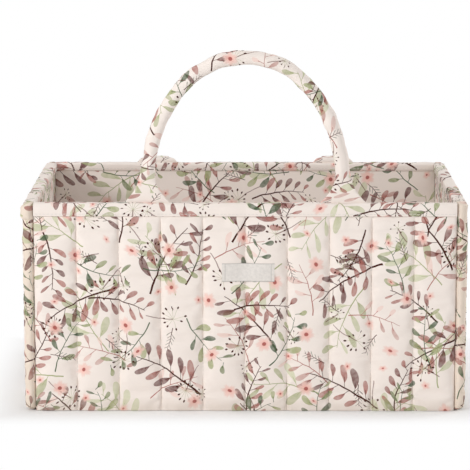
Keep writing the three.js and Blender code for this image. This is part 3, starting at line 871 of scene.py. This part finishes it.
def hem_section(layers):
    """Points (depth, height) round a hem's folded band, closed, starting at its outer lower edge."""
    cloth, round_over, inner_fall = 1.2 * MM, 2.4 * MM, 7.5 * MM
    edge_in, edge_up = 0.4 * MM, 0.5 * MM
    out, inside = layers.hem_out, layers.hem_in
    low, inner_low = HEM_EDGE, RIM - inner_fall

    def arc(centre, first, last, steps=5):
        for angle in np.linspace(first, last, steps + 1):
            yield centre + round_over * math.cos(angle), RIM - round_over + round_over * math.sin(angle)

    section = [(out - edge_in, low), (out, low + edge_up)]
    section += [(out, between(low, RIM - round_over, share)) for share in (0.35, 0.65)]
    section += arc(out - round_over, 0, math.pi / 2)
    section += arc(inside + round_over, math.pi / 2, math.pi)
    section += [(inside, inner_low + edge_up), (inside + edge_in, inner_low)]
    section += [(inside + cloth, inner_low), (inside + cloth, RIM - cloth)]
    section += [(out - cloth, RIM - cloth), (out - cloth, low)]
    return np.array(section)


class CADDY_OT_rim_hems(bpy.types.Operator):
    """Fold the printed hems over the top of the four walls"""

    bl_idname = "caddy.rim_hems"
    bl_label = "Rim Hems"

    def execute(self, context):
        for side, wall in WALLS.items():
            layers = LAYERS[side]
            section = hem_section(layers)
            ring = np.vstack((section, section[:1]))
            count = len(section)

            def shape(u, v):
                depth, z = ring[np.rint(u * count).astype(int)].T
                mitre = np.minimum(depth - layers.lining, 0)
                x = (2 * v - 1) * (layers.half_length + mitre)
                outer = (depth > layers.hem_out - 0.2 * MM) & (z < RIM - 2 * MM)
                top = z > RIM - 0.6 * MM
                across = 2 * np.mod(v * wall.channels, 1) - 1
                swell = 0.7 * MM * dome(across) * outer
                wave = ripple(
                    np.stack((x, depth, z), 1), scale=55, depth=1.3 * MM, seed=3.1 * (wall.turn + 1))
                return np.stack(
                    (x, -(depth + swell + wave * 0.35 * outer), z - np.abs(wave) * 0.8 * top), 1)

            hem_roll = (wall.roll[0] + 0.23, wall.roll[1] + 0.37)
            band = cloth_grid(f"{side}_hem_band", count, 120, shape, hem_roll, closed=True)
            turn_piece(band, wall.turn)
            finish_piece(band, "caddy_body", "Quilted Cotton", [f"{side}_rim_hem"], 50)
        return {"FINISHED"}


class CADDY_OT_corner_bindings(bpy.types.Operator):
    """Wrap the padded binding strips over the four upright edges"""

    bl_idname = "caddy.corner_bindings"
    bl_label = "Corner Bindings"

    def execute(self, context):
        for corner, turn in CORNER_TURNS.items():
            low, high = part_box(f"{corner}_corner_binding")
            strip = self.binding(
                f"{corner}_binding_strip", corner, low.z, high.z, rows=90,
                roll=(0.31 * turn / 90 + 2.035, 0.21), seed=turn)
            finish_piece(
                strip, "caddy_body", "Binding Cotton", [f"{corner}_corner_binding"], 50)
            if corner == "front_left":  # its end is folded over at the top
                fold = self.binding(
                    f"{corner}_binding_fold", corner, high.z - 14.8 * MM, high.z - 1.8 * MM, rows=12,
                    roll=(2.4, 0.5), seed=40, widen=1.9 * MM)
                finish_piece(fold, "caddy_body", "Binding Cotton", smooth=50)
        return {"FINISHED"}

    def binding(self, name, corner, foot, head, rows, roll, seed, widen=0.0):
        """A stuffed strip bent round a corner's upright edge, between two heights."""
        low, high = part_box(f"{corner}_corner_binding")
        edge = (low.x if "right" in corner else high.x, low.y if "back" in corner else high.y, 0)
        reach, steps = high.x - low.x, 20
        round_foot, round_head = 5 * MM, 3 * MM
        end_share = 0.62  # of the strip's thickness at its two ends
        fuller = 0.13  # how much further it stands out over the edge itself
        sewn_in, sewn_width = 0.38, 0.2  # how far the seams draw it in, and over what angle

        def shape(u, v):
            index = np.rint(u * (steps + 2)).astype(int)
            arc = np.clip((index - 1) / steps, 0, 1) * math.pi / 2
            z = foot + v * (head - foot)
            ends = np.clip(np.minimum((z - foot) / round_foot, (head - z) / round_head), 0, 1)
            thickness = reach * between(end_share, 1, quarter_round(ends)) + widen
            sewn = bell(arc, sewn_width) + bell(math.pi / 2 - arc, sewn_width)
            distance = thickness * (1 + fuller * np.sin(2 * arc) ** 2 - sewn_in * sewn)
            x, y = distance * np.cos(arc), distance * np.sin(arc)
            pucker = ripple(
                np.stack((x * 0.5, y * 0.5, z + x * 0.6), 1), scale=120, depth=1.3 * MM, seed=seed + 5)
            pucker += ripple(np.stack((x, y, z * 1.6), 1), scale=300, depth=0.3 * MM, seed=seed + 9)
            round_edge = (index > 0) & (index < steps + 2)
            x, y = (x + pucker * np.cos(arc)) * round_edge, (y + pucker * np.sin(arc)) * round_edge
            return np.stack((x, y, z), 1)

        strip = cloth_grid(name, steps + 2, rows, shape, roll, closed=True)
        turn_piece(strip, CORNER_TURNS[corner], edge)
        return strip


def flat_axes(node):
    """The axis along which a flat node is thin, and the two that it lies along."""
    low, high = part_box(node)
    thin = min((X, Y, Z), key=lambda axis: high[axis] - low[axis])
    return thin, [axis for axis in (X, Y, Z) if axis != thin]


def plate(name, node, cuts, edge, roll, wave=0.0, seed=0.0):
    """A soft flat piece in a node's place, with rounded edges and a slight wave through its thickness."""
    low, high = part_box(node)
    thin, along = flat_axes(node)
    deselect()
    bpy.ops.mesh.primitive_cube_add(size=1, location=(low + high) / 2, scale=high - low)
    obj = newly_named(name)
    bpy.ops.object.transform_apply(location=True, rotation=True, scale=True)
    edit(obj, lambda: bpy.ops.mesh.subdivide(number_cuts=cuts))
    apply_modifier(obj, "BEVEL", "Edge", width=edge, segments=2, limit_method="ANGLE")
    spots = points_of(obj)
    inner = np.ones(len(spots))
    for axis in along:
        to_edge = np.minimum(spots[:, axis] - low[axis], high[axis] - spots[:, axis])
        inner *= np.clip(to_edge / (10 * MM), 0, 1)
    spots[:, thin] += ripple(spots, scale=28, depth=wave, seed=seed) * inner
    place_points(obj, spots)
    lay_cloth(obj, spots[:, along] + roll)
    return obj


class CADDY_OT_linings(bpy.types.Operator):
    """Line the inside of the walls and the base with printed cotton"""

    bl_idname = "caddy.linings"
    bl_label = "Linings"

    def execute(self, context):
        for number, side in enumerate(("front", "back", "left", "right", "base")):
            node = f"{side}_lining"
            cloth = plate(
                f"{node}_cloth", node, cuts=40, edge=0.4 * MM, roll=(1.7 + 0.43 * number, 0.9),
                wave=0.3 * MM, seed=11 + number)
            finish_piece(cloth, "caddy_body", "Quilted Cotton", [node])
        return {"FINISHED"}


class CADDY_OT_base(bpy.types.Operator):
    """Cover the underside with printed cotton, notched for the corner bindings"""

    bl_idname = "caddy.base"
    bl_label = "Base Cover"

    def execute(self, context):
        node = "base_outer_panel"
        cover = plate("base_cover", node, cuts=30, edge=0.4 * MM, roll=(0.2, 1.9))
        spots = points_of(cover)
        notch = np.array((LAYERS["front"].half_length, LAYERS["right"].half_length))
        outside = (np.abs(spots[:, :Z]) > notch).all(axis=1)
        spots[outside, :Z] = np.sign(spots[outside, :Z]) * notch
        place_points(cover, spots)
        finish_piece(cover, "caddy_body", "Quilted Cotton", [node])
        return {"FINISHED"}


def flare_half_width(rise):
    """Half a handle's width, from its flat end at the rim to its tube."""
    s = sizes()
    narrowed = 1 - np.clip(rise / s.flare_height, 0, 1)
    return between(s.tube_half_width, s.flare_half_width, narrowed**s.flare_curve)


def stuffed_share(rise):
    """How far a handle has become a stuffed tube, from 0 where it is flat to 1."""
    s = sizes()
    high_fold = s.low_fold_rise + s.fold_spacing
    return eased((rise - high_fold - 2 * s.flat_half_thickness) / (s.flare_height - high_fold))


def arch_path(count, start_rise):
    """Places across and above the rim, and directions, along a handle's arch from right to left."""
    s = sizes()
    span, rise = s.handle_half_span, s.handle_rise - s.spring_rise
    first = math.asin(((start_rise - s.spring_rise) / rise) ** (s.arch_roundness / 2))
    dense = np.linspace(first, math.pi - first, 4000)
    power = 2 / s.arch_roundness
    x = span * squared(np.cos(dense), power)
    z = s.spring_rise + rise * np.sin(dense) ** power
    walked = np.r_[0, np.cumsum(np.hypot(np.diff(x), np.diff(z)))]
    even = np.linspace(0, walked[-1], count)
    x, z = np.interp(even, walked, x), np.interp(even, walked, z)
    way = np.stack((np.gradient(x), np.gradient(z)), 1)
    return x, z, way / np.linalg.norm(way, axis=1, keepdims=True)


def fold_back(obj, wall_y, angle):
    """Bends an upright piece of a handle over the rim, along its two fold lines, by angle at each."""
    s = sizes()
    points = points_of(obj)
    upright = points[:, Z].copy()
    for rise in (s.low_fold_rise + s.fold_spacing, s.low_fold_rise):
        height = RIM + rise
        turn = -angle * eased((upright - height + s.fold_reach) / (2 * s.fold_reach))
        y, z = points[:, Y] - wall_y, points[:, Z] - height
        points[:, Y] = wall_y + y * np.cos(turn) - z * np.sin(turn)
        points[:, Z] = height + y * np.sin(turn) + z * np.cos(turn)
    place_points(obj, points)


def fold_zone(wall_y, folded, line):
    """Start and end of the bend about a handle's fold line, 0 or 1, with the handle folded at both."""
    s = sizes()

    def way(angle):
        return Vector((0, math.sin(angle), math.cos(angle)))

    middle = Vector((0, wall_y, RIM + s.low_fold_rise)) + way(folded) * s.fold_spacing * line
    reach = (way(folded * line) + way(folded * (line + 1))).normalized() * s.fold_reach
    return middle - reach, middle + reach


class CADDY_OT_handles(bpy.types.Operator):
    """Sew the two stuffed handles, one upright at the front and one flopped over the back rim"""

    bl_idname = "caddy.handles"
    bl_label = "Handles"

    def execute(self, context):
        for side, folded, crease_seed in (("front", 0.0, 7), ("back", sizes().fold_angle, 9)):
            low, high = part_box(f"{side}_handle_left_tab")
            wall_y = (low.y + high.y) / 2
            self.cover(side, wall_y, folded, crease_seed)
            self.roots(side, wall_y, folded, low.z)
        return {"FINISHED"}

    def cover(self, side, wall_y, folded, crease_seed):
        """The arch, from between the fold lines of one end to those of the other."""
        s = sizes()
        high_fold = s.low_fold_rise + s.fold_spacing
        x, rise, way = arch_path(190, high_fold)
        ends, covered = 5, 0.55  # rows at each end, and the share between the folds that they cover
        below = np.linspace(0, s.fold_spacing * covered, ends + 1)[1:]
        x = np.r_[np.full(ends, x[0]), x, np.full(ends, x[-1])]
        rise = np.r_[rise[0] - below[::-1], rise, rise[-1] - below]
        way = np.vstack((np.tile((0.0, 1.0), (ends, 1)), way, np.tile((0.0, -1.0), (ends, 1))))
        stuffed = stuffed_share(rise)
        half_width = flare_half_width(rise)
        half_thick = between(s.flat_half_thickness, s.tube_half_thickness, stuffed)
        rows = len(x)
        boxy = 0.55  # power of the section where it is flat
        seam_draw, seam_width = 0.9 * MM, 0.09

        def shape(u, v):
            index = np.rint(v * (rows - 1)).astype(int)
            angle = (u + 0.25) * 2 * math.pi
            full = stuffed[index]
            power = between(boxy, 1, full)
            across = squared(np.cos(angle), power) * half_width[index]
            across += seam_draw * bell(np.cos(angle) + 1, seam_width) * full
            through = squared(np.sin(angle), power) * half_thick[index]
            side_x, side_z = way[index, 1], -way[index, 0]
            spots = np.stack(
                (x[index] + across * side_x, wall_y + through, RIM + rise[index] + across * side_z), 1)
            creases = ripple(spots, scale=75, depth=1.1 * MM, seed=crease_seed)
            creases += ripple(spots, scale=190, depth=0.4 * MM, seed=2)
            gathers = 0.35 * MM * np.sin(angle * 7 + 1.3) * bell(rise[index] - 30 * MM, 12 * MM)
            outward = np.stack((np.cos(angle) * side_x, np.sin(angle), np.cos(angle) * side_z), 1)
            return spots + outward * (creases * full + gathers)[:, None]

        cover = cloth_grid(f"{side}_handle_fabric", 24, rows - 1, shape, (0.9, 1.43), closed=True)
        fold_back(cover, wall_y, folded)
        finish_piece(cover, None, "Quilted Cotton", [f"{side}_handle_cover"], 60)
        start, end = fold_zone(wall_y, folded, 1)
        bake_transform(cover)
        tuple(start)
        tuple(end)

    def roots(self, side, wall_y, folded, low_z):
        """The two flat ends, from inside the wall to between the fold lines."""
        s = sizes()
        covered = 0.6  # share between the folds that they cover
        top = RIM + s.low_fold_rise + s.fold_spacing * covered
        over_core, boxy = 0.2 * MM, 0.35
        parts = []
        for number, centre in enumerate((-s.handle_half_span, s.handle_half_span)):
            def shape(u, v):
                angle = u * 2 * math.pi
                z = low_z + v * (top - low_z)
                across = squared(np.cos(angle), boxy) * (flare_half_width(z - RIM) + over_core)
                through = squared(np.sin(angle), boxy) * (s.flat_half_thickness + over_core / 2)
                return np.stack((centre + across, wall_y + through, z), 1)

            parts.append(cloth_grid(
                f"{side}_handle_root_{number}", 32, 40, shape, (2.1 + 0.2 * number, 1.2), closed=True))
        roots, other = parts
        take(roots)
        other.select_set(True)
        bpy.ops.object.join()
        roots.name = roots.data.name = f"{side}_handle_roots"
        fold_back(roots, wall_y, folded)
        replaced = [f"{side}_handle_{end}_{part}" for end in ("left", "right") for part in ("tab", "fold")]
        finish_piece(roots, None, "Quilted Cotton", replaced, 60)
        start, end = fold_zone(wall_y, folded, 0)
        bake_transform(roots)
        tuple(start)
        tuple(end)


def stitch_run(start, end, outward):
    """Even stitches on a straight run between two points: the place, way and outer side of each."""
    s = sizes()
    start, end = Vector(start), Vector(end)
    count = max(1, int((end - start).length / (s.stitch_length + s.stitch_gap)))
    way = (end - start).normalized()
    return [(start.lerp(end, (i + 0.5) / count), way, Vector(outward)) for i in range(count)]


def laid_run(cloth, turn, start, end, proud):
    """A run of stitches laid on a piece's outer surface along a wall, and a little proud of it."""
    run = stitch_run(start, end, (0, -1, 0))
    for place, _, _ in run:
        place.y = -depth_on(cloth, turn, place.x, place.z) - proud
    return run


def stitch_piece(name, runs, length, thread):
    """Rows of stitches: a small capsule, modelled once and set at each place of the runs."""
    deselect()
    bpy.ops.mesh.primitive_cylinder_add(vertices=6, radius=0.5, depth=1)
    model = bpy.context.object
    inset, rise = 0.2, 0.15

    def round_ends():
        bpy.ops.mesh.select_mode(type="FACE")
        bpy.ops.mesh.select_all(action="DESELECT")
        bpy.ops.mesh.select_face_by_sides(number=4, type="GREATER")
        bpy.ops.mesh.inset(thickness=inset, depth=rise, use_individual=True)

    edit(model, round_ends)
    base = points_of(model) * (thread, thread * 0.8, length / (1 + 2 * rise))
    faces = [tuple(face.vertices) for face in model.data.polygons]
    bpy.data.objects.remove(model)
    points, polygons = [], []
    for place, way, outward in runs:
        side = way.cross(outward).normalized()
        start = len(points) * len(base)
        points.append(base @ np.array((side, way.cross(side), way)) + np.array(place))
        polygons += [tuple(start + i for i in face) for face in faces]
    mesh = bpy.data.meshes.new(name)
    mesh.from_pydata(np.vstack(points).tolist(), [], polygons)
    obj = bpy.data.objects.new(name, mesh)
    bpy.context.collection.objects.link(obj)
    edit(obj, face_outwards)
    return obj


class CADDY_OT_stitching(bpy.types.Operator):
    """Sew the visible stitches along the quilting seams, the hems and the bindings"""

    bl_idname = "caddy.stitching"
    bl_label = "Stitching"

    def execute(self, context):
        s = sizes()
        for side, wall in WALLS.items():
            layers = LAYERS[side]
            ends = layers.half_length - 1 * MM
            hem_line = HEM_EDGE + 2.2 * MM
            lines = [(f"{side}_hem_band", (-ends, 0, hem_line), (ends, 0, hem_line))]
            for i in range(1, wall.channels):
                x = (2 * i / wall.channels - 1) * layers.half_length
                lines.append((f"{side}_quilted_panel", (x, 0, 3 * MM), (x, 0, HEM_EDGE - 1 * MM)))
            for corner, way_out in zip(wall.corners, (-1, 1)):
                x = way_out * (layers.half_length + 2 * MM)
                lines.append((f"{corner}_binding_strip", (x, 0, 6 * MM), (x, 0, RIM - 3 * MM)))
            runs = []
            for cloth, start, end in lines:
                runs += laid_run(bpy.data.objects[cloth], wall.turn, start, end, s.thread * 0.1)
            inner_y, inner_z = -layers.hem_in + 0.1 * MM, RIM - 5.5 * MM
            runs += stitch_run((-ends, inner_y, inner_z), (ends, inner_y, inner_z), (0, 1, 0))
            stitches = stitch_piece(f"{side}_stitching", runs, s.stitch_length, s.thread)
            turn_piece(stitches, wall.turn)
            finish_piece(stitches, "caddy_body", "Sewing Thread")
        return {"FINISHED"}


class CADDY_OT_label(bpy.types.Operator):
    """Sew the bare woven label onto the front panel"""

    bl_idname = "caddy.label"
    bl_label = "Woven Label"

    def execute(self, context):
        low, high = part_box("woven_label")
        columns, rows = 60, 22
        columns_x = np.linspace(low.x, high.x, columns + 1)
        rows_z = np.linspace(low.z, high.z, rows + 1)
        panel = bpy.data.objects["front_quilted_panel"]
        gap = 0.15 * MM
        bed = np.array([[-depth_on(panel, 0, x, z) - gap for x in columns_x] for z in rows_z])
        laid = bed.copy()
        smoothings = 160
        for _ in range(smoothings):  # the ribbon spans the panel's hollows, and lies on its crowns
            around = np.pad(laid, 1, mode="edge")
            laid = (around[:-2, 1:-1] + around[2:, 1:-1] + around[1:-1, :-2] + around[1:-1, 2:]) / 4
            laid = np.minimum(laid, bed)

        def shape(u, v):
            column, row = np.rint(u * columns).astype(int), np.rint(v * rows).astype(int)
            return np.stack((columns_x[column], laid[row, column], rows_z[row]), 1)

        label = cloth_grid("woven_label_ribbon", columns, rows, shape, (0.0, 0.0))
        apply_modifier(label, "SOLIDIFY", "Ribbon", thickness=high.y - low.y, offset=-1)
        finish_piece(label, "caddy_body", "Woven Ribbon", ["woven_label"])
        from_end, from_edge, proud = 1.6 * MM, 1 * MM, 0.1 * MM
        runs = []
        for x in (low.x + from_end, high.x - from_end):
            runs += laid_run(label, 0, (x, 0, low.z + from_edge), (x, 0, high.z - from_edge), proud)
        stitches = stitch_piece("label_stitching", runs, 2.1 * MM, 0.4 * MM)
        finish_piece(stitches, "caddy_body", "Sewing Thread")
        return {"FINISHED"}


class CADDY_OT_dividers(bpy.types.Operator):
    """Pad the two lift-out dividers"""

    bl_idname = "caddy.dividers"
    bl_label = "Dividers"

    def execute(self, context):
        self.divider("cross_divider", (0.3, 2.6))
        self.divider("long_divider", (0.9, 2.6))
        return {"FINISHED"}

    def divider(self, name, roll):
        s = sizes()
        node = f"{name}_cover"
        low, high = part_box(node)
        thin, (long, _) = flat_axes(node)
        half, middle = (high[thin] - low[thin]) / 2, (high[thin] + low[thin]) / 2
        boxy_up, boxy_out = 0.12, 0.3  # powers of the section
        end_share, top_share = 0.55, 0.8  # of the thickness, at the ends and along the top

        def shape(u, v):
            angle = u * 2 * math.pi
            ends = np.clip(np.minimum(v, 1 - v) * (high[long] - low[long]) / (4 * MM), 0, 1)
            plump = between(end_share, 1, quarter_round(ends))
            up, out = squared(np.sin(angle), boxy_up), squared(np.cos(angle), boxy_out)
            z = between(low.z, high.z, (up + 1) / 2)
            crown = between(top_share, 1, np.clip((high.z - z) / (15 * MM), 0, 1))
            spots = np.empty((len(u), 3))
            spots[:, thin] = middle + out * half * plump * crown
            spots[:, long] = between(low[long], high[long], v)
            spots[:, Z] = z
            spots[:, thin] += ripple(spots, scale=35, depth=0.6 * MM, seed=6) * np.sign(out) * ends
            return spots

        pad = cloth_grid(f"{name}_pad", 64, 90, shape, roll, closed=True)
        finish_piece(pad, name, "Quilted Cotton", [node], 50)

        def spot(across, along, z):
            found = Vector((0, 0, z))
            found[thin], found[long] = across, along
            return found

        runs = []
        seam_z, from_end, just_in = high.z - 6 * MM, 4 * MM, 0.99
        for face in (-1, 1):
            face_at = middle + face * half * just_in
            start, end = low[long] + from_end, high[long] - from_end
            runs += stitch_run(spot(face_at, start, seam_z), spot(face_at, end, seam_z), spot(face, 0, 0))
        stitches = stitch_piece(f"{name}_stitching", runs, s.stitch_length, s.thread)
        finish_piece(stitches, name, "Sewing Thread")


class CADDY_OT_tapes(bpy.types.Operator):
    """Lay the napped hook and loop tapes that hold the dividers"""

    bl_idname = "caddy.tapes"
    bl_label = "Hook and Loop Tapes"

    def execute(self, context):
        tapes = (
            ("front_lining_loop_strip", "caddy_body", "front_lining_cloth"),
            ("back_lining_loop_strip", "caddy_body", "back_lining_cloth"),
            ("left_lining_loop_strip", "caddy_body", "left_lining_cloth"),
            ("cross_divider_front_hook_strip", "cross_divider", None),
            ("cross_divider_back_hook_strip", "cross_divider", None),
            ("cross_divider_loop_strip", "cross_divider", "cross_divider_pad"),
            ("long_divider_left_hook_strip", "long_divider", None),
            ("long_divider_right_hook_strip", "long_divider", None),
        )
        for number, (node, body, bed) in enumerate(tapes):
            tape = plate(
                f"{node}_tape", node, cuts=24, edge=0.3 * MM, roll=(0, 0), wave=0.3 * MM, seed=20 + number)
            finish_piece(tape, body, "Napped Tape", [node])
        return {"FINISHED"}


class CADDY_OT_inner_parts(bpy.types.Operator):
    """Give the foam boards, the base board and the rope cores their finish"""

    bl_idname = "caddy.inner_parts"
    bl_label = "Inner Parts"

    def execute(self, context):
        finishes = {"foam": "Foam", "base_board": "Base Board", "handle_core": "Cotton Rope"}
        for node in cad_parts:
            for word, finish in finishes.items():
                if word in node:
                    for slot in bpy.data.objects[node].material_slots:
                        slot.material = materials()[finish]
        return {"FINISHED"}


# The studio lamps: where each stands and how wide it is, in metres, and its watts
Lamp = namedtuple("Lamp", "name place size power")
LAMPS = (
    Lamp("Key", (-1.8, -1.4, 1.0), 0.7, 25.5),
    Lamp("Fill", (1.4, -2.3, 1.1), 1.8, 10.0),
    Lamp("Top", (0.1, 0.3, 2.2), 1.8, 7.0),
    Lamp("Rear", (2.0, 1.1, 0.9), 0.8, 16.0),
)


class CADDY_OT_stage(bpy.types.Operator):
    """Set the pale floor, the white background and the soft studio light"""

    bl_idname = "caddy.stage"
    bl_label = "Stage"

    def execute(self, context):
        self.floor()
        self.background(context.scene)
        for lamp in LAMPS:
            self.lamp(*lamp)
        context.scene.view_settings.view_transform = "Standard"
        return {"FINISHED"}

    def floor(self):
        """A floor that takes the caddy's shadow, and turns to the background's white beyond it."""
        deselect()
        bpy.ops.mesh.primitive_plane_add(size=12, location=(0, 0, -0.4 * MM))
        floor = newly_named("studio_floor")
        material = bpy.data.materials.new("Studio Floor")
        w = cleared(material)
        place = w.wires("ShaderNodeTexCoord")["Object"]
        mottle = w.noise(place, scale=3.0, detail=2.0)
        roughness = w.ramp(mottle, 0.3, 0.7, to_low=0.85, to_high=0.95)
        shader = w.wire("ShaderNodeBsdfPrincipled", {
            "Base Color": paint("floor"), "Roughness": roughness, "Specular IOR Level": 0.1})
        x, y, _ = w.split(place)
        beyond = w.most(abs(x) - LAYERS["right"].crown, abs(y) - LAYERS["front"].crown)
        clear = w.ramp(beyond, -5 * MM, 50 * MM)
        white = w.wire("ShaderNodeEmission", {"Color": (1, 1, 1, 1), "Strength": 1.0})
        seen = w.wires("ShaderNodeLightPath")["Is Camera Ray"]
        surface = w.wire("ShaderNodeMixShader", [clear * seen, shader, white])
        w.node("ShaderNodeOutputMaterial", [surface])
        floor.data.materials.append(material)

    def background(self, scene):
        """White where it is seen or reflected, and half as bright as a light."""
        scene.world = bpy.data.worlds.new("Studio")
        w = cleared(scene.world)
        path = w.wires("ShaderNodeLightPath")
        seen = w.most(w.most(path["Is Camera Ray"], path["Is Glossy Ray"]), path["Is Transmission Ray"])
        light = w.wire("ShaderNodeBackground", {"Color": (1, 1, 1, 1), "Strength": seen * 0.5 + 0.5})
        w.node("ShaderNodeOutputWorld", [light])

    def lamp(self, name, place, size, power):
        """A round soft lamp that shines on the caddy's middle."""
        bpy.ops.object.light_add(type="AREA", location=place)
        lamp = bpy.context.object
        lamp.name = name
        lamp.data.shape = "DISK"
        lamp.data.size = size
        lamp.data.energy = power
        target = Vector((0, 0, 120 * MM))
        lamp.rotation_euler = (target - Vector(place)).to_track_quat("-Z", "Y").to_euler()


class CADDY_PT_panel(bpy.types.Panel):
    """Lists the caddy's steps, sizes and colours in the sidebar"""

    bl_label = "Quilted Caddy"
    bl_idname = "CADDY_PT_panel"
    bl_space_type = "VIEW_3D"
    bl_region_type = "UI"
    bl_category = "Caddy"

    def draw(self, context):
        for step in STEPS:
            self.layout.operator(step.bl_idname)
        for group in (context.scene.caddy_sizes, context.scene.caddy_colours):
            for key in group.__annotations__:
                self.layout.prop(group, key)


STEPS = (
    CADDY_OT_camera,
    CADDY_OT_quilted_panels,
    CADDY_OT_rim_hems,
    CADDY_OT_corner_bindings,
    CADDY_OT_linings,
    CADDY_OT_base,
    CADDY_OT_handles,
    CADDY_OT_stitching,
    CADDY_OT_label,
    CADDY_OT_dividers,
    CADDY_OT_tapes,
    CADDY_OT_inner_parts,
    CADDY_OT_stage,
)
CLASSES = (CaddySizes, CaddyColours, *STEPS, CADDY_PT_panel)


def register():
    for made in CLASSES:
        bpy.utils.register_class(made)
    bpy.types.Scene.caddy_sizes = bpy.props.PointerProperty(type=CaddySizes)
    bpy.types.Scene.caddy_colours = bpy.props.PointerProperty(type=CaddyColours)


def unregister():
    del bpy.types.Scene.caddy_colours
    del bpy.types.Scene.caddy_sizes
    for made in reversed(CLASSES):
        bpy.utils.unregister_class(made)


def main():
    register()
    for step in STEPS:
        family, name = step.bl_idname.split(".")
        getattr(getattr(bpy.ops, family), name)()


if __name__ == "__main__":
    main()
